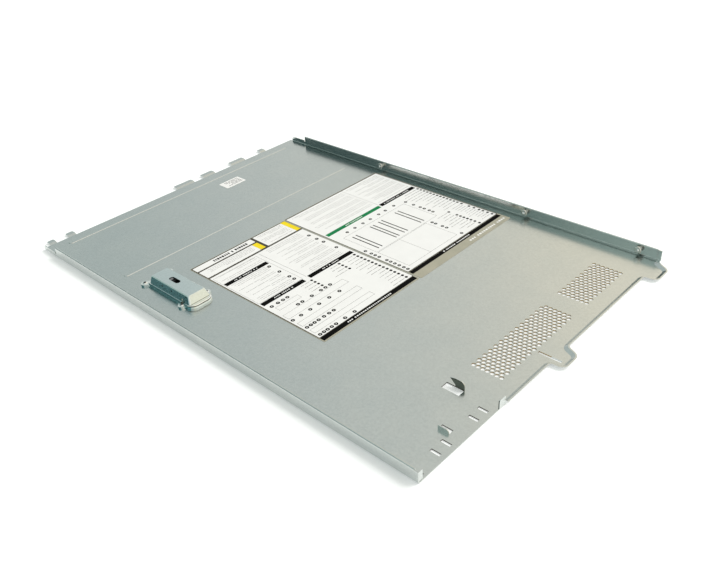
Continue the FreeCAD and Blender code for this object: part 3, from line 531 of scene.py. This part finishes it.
# Far label
LONG_BARS_Y = (107.2, 101.2, 75.2, 69.2, 59.2, 53.8, 27.2, 21.2)
LONG_BAR_HALF = 0.8
far_line = Layer("label_far_line", "label_far", LINE_INK, UNDER)
far_line.field(0.6, 209.6, 0.6, 177.0, corner=1.0)
far_line.done()
far_white = Layer("label_far_white", "label_far", WHITE_FILM, FIELD)
far_white.field(2.4, 208.6, 1.4, 175.8, corner=1.0)
far_white.done()

far_black = Layer("label_far_black", "label_far", BLACK_INK, INK)
far_black.box(71.1, 77.9, 105.2, 173.2)
far_black.done()
far_edge = Layer("label_far_black_edge", "label_far", BLACK_INK, FIELD)
far_edge.box(209.9, 216.1, 1.2, 175.4)
far_edge.done()

far_green = Layer("label_far_green", "label_far", GREEN_INK, INK)
far_green.box(72.1, 78.5, 3.8, 102.8)
far_green.done()

far_dark = Layer("label_far_dark", "label_far", DARK_INK, INK)
for y in LONG_BARS_Y:
    far_dark.box(102.5, 146.5, y - LONG_BAR_HALF, y + LONG_BAR_HALF)
far_rings = column(88.9, 115.2, 98.2, 85.2, 69.2, 55.2, 40.2, 26.2)
far_rings += row(132.8, 94.5, 108.1, 119.5, 126.1, 134.5, 140.5)
far_rings += row(109.6, 157.5, 163.1, 173.9, 180.5, 203.5)
far_rings += row(5.8, 138.5, 147.9, 154.1, 160.5, 172.5, 178.5, 184.9, 191.5, 198.5, 204.5)
far_list = run(82.5, step=5.6, count=13)
dots(far_dark, far_rings, radius=2.2)
dots(far_dark, row(172.6, *far_list, 156.5, 168.5, 176.5, 184.5, 190.5, 197.5, 204.5), radius=1.8)
dots(far_dark, row(144.0, 157.5, 170.5, 176.1, 181.5, 186.9, 192.5, 198.5, 205.5), radius=1.9)
far_dark.done()

far_grey = Layer("label_far_grey", "label_far", GREY_INK, INK)
text_lines(far_grey, 7.0, 68.0, 108.0, 171.0, step=3.2, width=SMALL_PRINT)
text_lines(far_grey, 7.0, 68.0, 6.0, 101.0, step=3.2, width=SMALL_PRINT)
list_lines(far_grey, 82.2, 152.0, 136.0, 169.5, step=5.6, width=LIST_PRINT)
list_lines(far_grey, 156.2, 205.0, 148.0, 169.5, step=4.2, width=0.5)
list_lines(far_grey, 157.2, 205.0, 114.0, 141.0, step=5.4, width=LIST_PRINT)
far_grey.box(2.5, 70.0, 104.6, 105.0)
far_grey.outline(95.5, 151.5, 12.2, 127.2, width=THIN_RULE)
far_grey.outline(152.5, 201.5, 12.2, 103.2, width=THIN_RULE)
far_grey.box(152.9, 201.0, 51.5, 51.9)
far_grey.done()

# Near label
near_line = Layer("label_near_line", "label_near", LINE_INK, UNDER)
near_line.field(0.6, 217.8, 0.6, 150.4, corner=1.0)
near_line.done()
near_white = Layer("label_near_white", "label_near", WHITE_FILM, FIELD)
near_white.field(2.0, 32.8, 95.4, 142.8, corner=0.8)
near_white.field(2.2, 12.4, 2.0, 91.4, corner=0.8)
near_white.field(15.0, 32.8, 2.0, 83.4, corner=0.8)
near_white.field(35.8, 216.8, 1.8, 149.9, corner=1.0)
near_white.done()

near_yellow = Layer("label_near_yellow", "label_near", YELLOW_INK, FIELD)
near_yellow.box(1.4, 32.6, 142.9, 150.0)
near_yellow.box(15.2, 32.4, 83.5, 91.4)
near_yellow.done()

near_black = Layer("label_near_black", "label_near", BLACK_INK, INK)
near_black.box(121.3, 128.1, 76.0, 147.4)
near_black.box(121.9, 128.7, 4.0, 67.8)
near_black.box(58.2, 64.8, 4.4, 67.8)
near_black.done()
near_edge = Layer("label_near_black_edge", "label_near", BLACK_INK, FIELD)
near_edge.box(217.8, 224.2, 1.4, 149.6)
near_edge.done()

near_dark = Layer("label_near_dark", "label_near", DARK_INK, INK)
heading(near_dark, 5.0, 9.4, 30.0, 82.0, widest=2.6)
near_rings = row(143.4, 54.6, 68.6, 80.6, 102.6)
near_rings += row(62.8, 70.6, 88.6, 105.6, 113.8)
near_rings += column(155.2, 79.4, 72.0, 65.0, 50.8, 36.4, 29.8)
near_rings += column(172.8, 76.4, 60.4, 44.8, 31.4, 17.8, 5.8)
near_rings += column(193.8, 46.0, 39.0, 31.4, 23.4, 17.4, 12.0, 6.4)
near_rings += column(213.2, 58.0, 43.4, 29.8, 23.4, 17.4, 12.0, 6.4)
near_rings += column(135.8, 32.0, 25.4, 18.0, 9.0)
dots(near_dark, near_rings, radius=2.4)
dots(near_dark, row(143.8, *run(132.2, step=5.76, count=15)), radius=1.9)
for y in (117.8, 72.8):
    dots(near_dark, row(y, *run(132.2, step=5.67, count=4)), radius=1.8)
near_dark.done()

near_grey = Layer("label_near_grey", "label_near", GREY_INK, INK)
text_lines(near_grey, 5.0, 30.0, 98.0, 139.5, step=2.6, width=SMALL_PRINT)
text_lines(near_grey, 18.0, 30.5, 6.0, 79.0, step=2.8, width=SMALL_PRINT)
text_lines(near_grey, 40.0, 119.5, 82.0, 138.5, step=3.2, width=SMALL_PRINT)
text_lines(near_grey, 41.0, 57.0, 6.0, 66.0, step=3.4, width=SMALL_PRINT)
text_lines(near_grey, 67.0, 119.0, 6.0, 59.5, step=3.2, width=SMALL_PRINT)
list_lines(near_grey, 132.0, 214.0, 120.0, 140.5, step=5.76, width=LIST_PRINT)
list_lines(near_grey, 132.0, 150.5, 92.0, 114.5, step=5.67, width=LIST_PRINT)
list_lines(near_grey, 132.0, 150.5, 50.0, 69.5, step=5.67, width=LIST_PRINT)
for x0, x1 in ((158.2, 168.2), (180.6, 189.2), (199.6, 207.8)):
    near_grey.outline(x0, x1, 4.4, 96.4, width=THIN_RULE)
near_grey.outline(140.6, 148.2, 9.4, 42.4, width=THIN_RULE)
near_grey.outline(40.0, 121.2, 3.4, 69.0, width=0.3)
near_grey.box(38.0, 121.2, 74.4, 74.8)
near_grey.done()

# Pale headings on the dark bars, pale marks on the backing and pale centres in the larger dots
near_pale = Layer("label_near_pale", "label_near", WHITE_FILM, TOP_INK)
heading(near_pale, 220.1, 221.9, 40.0, 108.0, widest=2.4)
heading(near_pale, 123.9, 125.5, 98.0, 124.0, widest=2.0)
heading(near_pale, 124.5, 126.1, 22.0, 50.0, widest=2.0)
heading(near_pale, 60.7, 62.3, 18.0, 52.0, widest=2.0)
dots(near_pale, near_rings, radius=0.7)
near_pale.done()
far_pale = Layer("label_far_pale", "label_far", WHITE_FILM, TOP_INK)
heading(far_pale, 212.1, 213.9, 62.0, 112.0, widest=2.4)
heading(far_pale, 73.7, 75.3, 112.0, 162.0, widest=2.0)
heading(far_pale, 74.4, 76.2, 38.0, 68.0, widest=2.0)
dots(far_pale, far_rings, radius=0.65)
far_pale.done()
far_strip = Layer("label_far_strip", "label_far", WHITE_FILM, FIELD)
heading(far_strip, 221.0, 223.8, 100.0, 173.0, widest=3.6)
far_strip.done()

# Small label
small_dark = Layer("label_small_dark", "label_small", DARK_INK, FIELD)
list_lines(small_dark, 3.0, 17.5, 3.0, 31.0, step=3.0, width=0.9)
small_dark.done()

# Pale floor, lifted to white for the camera and in reflections, and lifted less under the cover and in a
# fading band beside it, as painted shadow
FLOOR_SIZE = 12.0
FLOOR_DROP = 0.2 * MM
FLOOR_COLOUR = (0.80, 0.82, 0.83)
FLOOR_LIFT = 0.28
LIFT_SHARE_IN_PAINTED_SHADOW = 0.65
LIFT_STARTS = {"X": cad_box[1][0] - 36.0 * MM, "Y": cad_box[1][1]}
LIFT_FADES = {"X": 18.0 * MM, "Y": 25.0 * MM}
deselect_all()
bpy.ops.mesh.primitive_plane_add(size=FLOOR_SIZE, location=(0, 0, -FLOOR_DROP))
floor = mesh_named("studio_floor")
floor_material, floor_tree, floor_shader = new_material("studio_floor")
floor_shader.inputs["Base Color"].default_value = (*FLOOR_COLOUR, 1)
floor_shader.inputs["Roughness"].default_value = 0.9
rays = floor_tree.nodes.new("ShaderNodeLightPath").outputs
lifted_rays = rays["Is Camera Ray"]
for kind in ("Is Glossy Ray", "Is Transmission Ray"):
    lifted_rays = calculate(floor_tree, "MAXIMUM", lifted_rays, rays[kind])
floor_spot = axes_of(floor_tree, "Object")
shares = []
for axis, start in LIFT_STARTS.items():
    beyond = floor_tree.nodes.new("ShaderNodeMapRange")
    beyond.inputs["From Min"].default_value = start
    beyond.inputs["From Max"].default_value = start + LIFT_FADES[axis]
    beyond.inputs["To Min"].default_value = LIFT_SHARE_IN_PAINTED_SHADOW
    floor_tree.links.new(calculate(floor_tree, "ABSOLUTE", floor_spot[axis]), beyond.inputs["Value"])
    shares.append(beyond.outputs["Result"])
lift_here = calculate(floor_tree, "MULTIPLY", calculate(floor_tree, "MAXIMUM", *shares), FLOOR_LIFT)
lift = calculate(floor_tree, "MULTIPLY", lifted_rays, lift_here)
floor_shader.inputs["Emission Color"].default_value = (1, 1, 1, 1)
floor_tree.links.new(lift, floor_shader.inputs["Emission Strength"])
floor.data.materials.append(floor_material)

# World: dark teal patch low on the front near side, grey around it, bright and warm on the other side
DARKEST = Vector((-0.721, -0.649, 0.242)).normalized()
# Tones tuned, each at its place from 0 in the darkest direction to 1 in the opposite one
SKY_TONES = [
    (0.000, (0.012, 0.05, 0.055)), (0.014, (0.02, 0.07, 0.075)), (0.030, (0.055, 0.12, 0.115)),
    (0.060, (0.62, 0.78, 0.72)), (0.110, (0.56, 0.62, 0.61)), (0.280, (0.54, 0.60, 0.59)),
    (0.340, (0.62, 0.66, 0.65)), (0.400, (0.69, 0.715, 0.69)), (0.480, (0.76, 0.76, 0.71)),
    (0.570, (1.00, 0.92, 0.76)), (0.680, (1.06, 1.01, 0.92)), (0.840, (1.06, 1.02, 0.94)),
    (0.950, (1.00, 0.92, 0.72))]
world = bpy.data.worlds.new("studio")
bpy.context.scene.world = world
world.use_nodes = True
sky_tree = world.node_tree
sky = sky_tree.nodes["Background"]
direction = sky_tree.nodes.new("ShaderNodeTexCoord")
towards = sky_tree.nodes.new("ShaderNodeVectorMath")
towards.operation = "DOT_PRODUCT"
towards.inputs[1].default_value = DARKEST
sky_tree.links.new(direction.outputs["Generated"], towards.inputs[0])
spread = sky_tree.nodes.new("ShaderNodeMapRange")
spread.inputs["From Min"].default_value = 1.0
spread.inputs["From Max"].default_value = -1.0
sky_tree.links.new(towards.outputs["Value"], spread.inputs["Value"])
tones = sky_tree.nodes.new("ShaderNodeValToRGB")
stops = tones.color_ramp.elements
for end, (position, tone) in zip((stops[0], stops[1]), (SKY_TONES[0], SKY_TONES[-1])):
    end.position = position
    end.color = (*tone, 1)
for position, tone in SKY_TONES[1:-1]:
    stops.new(position).color = (*tone, 1)
sky_tree.links.new(spread.outputs["Result"], tones.inputs["Fac"])
sky_tree.links.new(tones.outputs["Color"], sky.inputs["Color"])
sky.inputs["Strength"].default_value = 1.0


def wide_lamp(name, from_side, width, strength, tint):
    """Lamp far away that lights floor and object evenly; width is the angle that it fills"""
    data = bpy.data.lights.new(name, "SUN")
    data.angle = math.radians(width)
    data.energy = strength
    data.color = tint
    lamp = bpy.data.objects.new(name, data)
    bpy.context.scene.collection.objects.link(lamp)
    lamp.location = from_side
    lamp.rotation_mode = "QUATERNION"
    lamp.rotation_quaternion = (-Vector(from_side)).to_track_quat("-Z", "Y")
    lamp.visible_glossy = False


wide_lamp("key_light", from_side=(1.0, 1.7, 2.2), width=24.0, strength=1.6, tint=(1.0, 0.98, 0.97))

# Camera from the photograph's own perspective
CAMERA_PLACE = Vector((0.57907, -0.54220, 0.46956))
CAMERA_LOOK = Vector((-0.59518, 0.58704, -0.54877))
CAMERA_ROLL = math.radians(-4.19)
IMAGE_WIDTH = 712
FOCAL_PIXELS = 771.09
camera_data = bpy.data.cameras.new("photo_camera")
camera_data.sensor_width = 36.0
camera_data.lens = FOCAL_PIXELS * camera_data.sensor_width / IMAGE_WIDTH
camera = bpy.data.objects.new("photo_camera", camera_data)
bpy.context.scene.collection.objects.link(camera)
camera.location = CAMERA_PLACE
camera.rotation_mode = "QUATERNION"
camera.rotation_quaternion = CAMERA_LOOK.to_track_quat("-Z", "Y") @ Quaternion((0, 0, 1), CAMERA_ROLL)
camera_data.clip_start = 0.01
camera_data.clip_end = 50.0
bpy.context.scene.camera = camera
bpy.context.scene.view_settings.view_transform = "Standard"

deselect_all()
